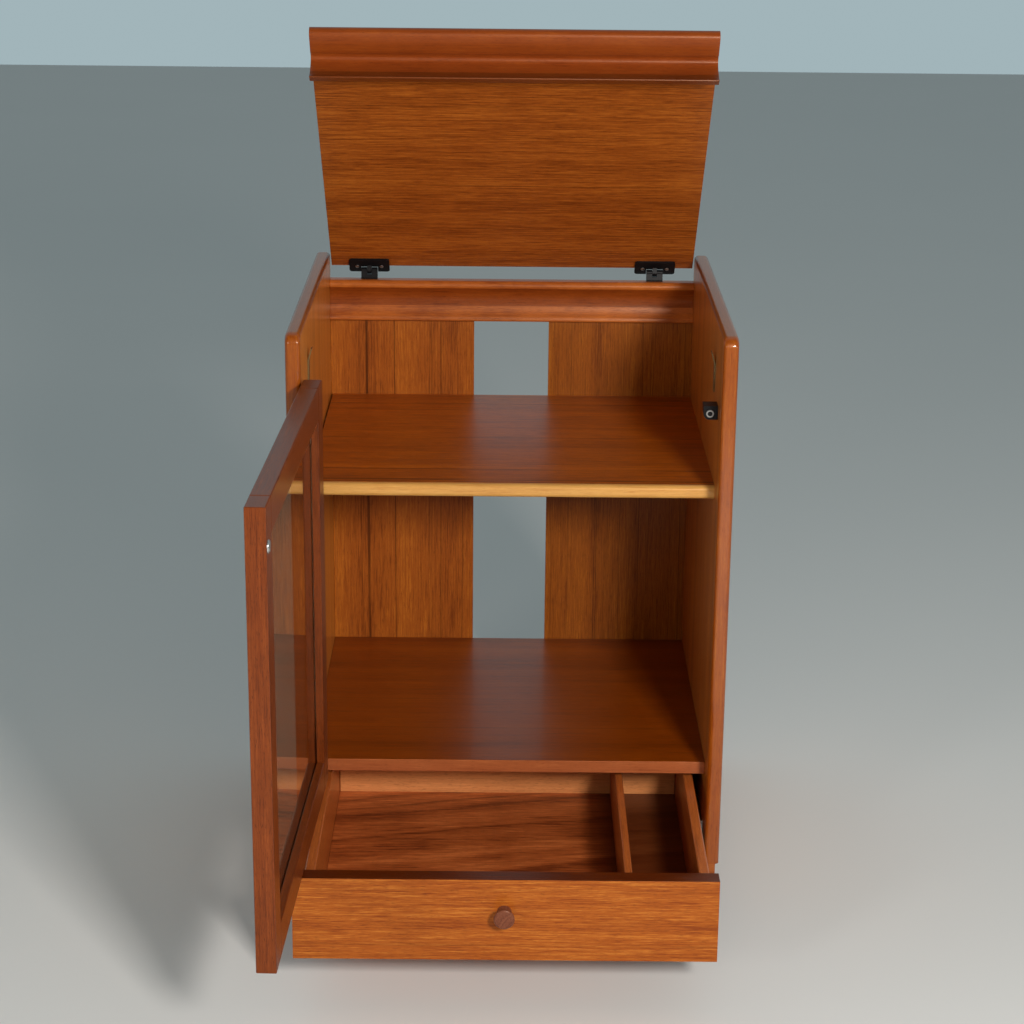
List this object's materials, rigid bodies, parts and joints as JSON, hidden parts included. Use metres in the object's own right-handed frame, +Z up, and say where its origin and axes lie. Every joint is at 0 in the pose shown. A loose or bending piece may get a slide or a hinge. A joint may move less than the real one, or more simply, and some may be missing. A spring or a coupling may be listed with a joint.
{
  "type": "sewing table",
  "caption": "Small teak cabinet with a lift-up lid over a deep top tray, a glazed side-hung door with a shelf behind it, and a drawer below.",
  "frame": {"origin": "on the floor, at the middle of the whole object's box with lid, door and drawer open as stored", "axes": "+X to the right as seen from the front, +Y towards the back, +Z up"},
  "size_m": [0.521, 0.9454, 1.049],
  "materials": {
    "teak": "satin lacquered veneer with open grain",
    "red_teak": "satin lacquered solid wood, redder and finely pored",
    "maple": "satin lacquered pale lipping",
    "black_plastic": "moulded, slightly shiny",
    "steel": "zinc plated",
    "brass": "dull plated",
    "clear_glass": "polished clear float glass"
  },
  "bodies": {
    "cabinet": {"back_panel_left": "teak", "back_panel_right": "teak", "back_rail": "teak", "bottom_board": "teak", "catch_housing": "black_plastic", "catch_magnet": "steel", "door_hinge_bottom_pin": "brass", "door_hinge_bottom_side_leaf": "brass", "door_hinge_top_pin": "brass", "door_hinge_top_side_leaf": "brass", "glide_back_left": "black_plastic", "glide_back_right": "black_plastic", "glide_front_left": "black_plastic", "glide_front_right": "black_plastic", "lid_hinge_base_left": "black_plastic", "lid_hinge_base_right": "black_plastic", "lid_hinge_pin_left": "steel", "lid_hinge_pin_right": "steel", "lower_board": "teak", "middle_shelf": "teak", "plinth_back": "teak", "plinth_front": "teak", "plinth_left": "teak", "plinth_right": "teak", "runner_rail_left": "steel", "runner_rail_right": "steel", "shelf_lipping": "maple", "shelf_support_back_left": "steel", "shelf_support_back_right": "steel", "shelf_support_front_left": "steel", "shelf_support_front_right": "steel", "side_panel_left": "teak", "side_panel_right": "teak", "slot_bracket_left": "brass", "slot_bracket_right": "brass"},
    "lid": {"lid_hinge_plate_left": "black_plastic", "lid_hinge_plate_right": "black_plastic", "lid_hinge_screw_left_1": "steel", "lid_hinge_screw_left_2": "steel", "lid_hinge_screw_right_1": "steel", "lid_hinge_screw_right_2": "steel", "lid_nosing": "teak", "lid_panel": "teak"},
    "door": {"door_glass": "clear_glass", "door_hinge_bottom_door_leaf": "brass", "door_hinge_top_door_leaf": "brass", "door_rail_bottom": "red_teak", "door_rail_top": "red_teak", "door_stile_free": "red_teak", "door_stile_hinge": "red_teak", "door_strike": "steel"},
    "drawer": {"drawer_back": "teak", "drawer_bottom": "teak", "drawer_divider": "teak", "drawer_front": "teak", "drawer_knob": "red_teak", "drawer_side_left": "teak", "drawer_side_right": "teak", "drawer_slide_left": "steel", "drawer_slide_right": "steel"}
  },
  "joints": [
    {"name": "lid_hinge", "type": "hinge", "parent": "cabinet", "child": "lid", "pos_m": [0, 0.45884, 0.6984], "axis": [1, 0, 0], "range_deg": [0, 48.2]},
    {"name": "door_hinge", "type": "hinge", "parent": "cabinet", "child": "door", "pos_m": [-0.2429, 0.01114, 0], "axis": [0, 0, 1], "range_deg": [-12, 92]},
    {"name": "drawer_slide", "type": "slide", "parent": "cabinet", "child": "drawer", "axis": [0, 1, 0], "range_m": [-0.045, 0.2645]}
  ]
}
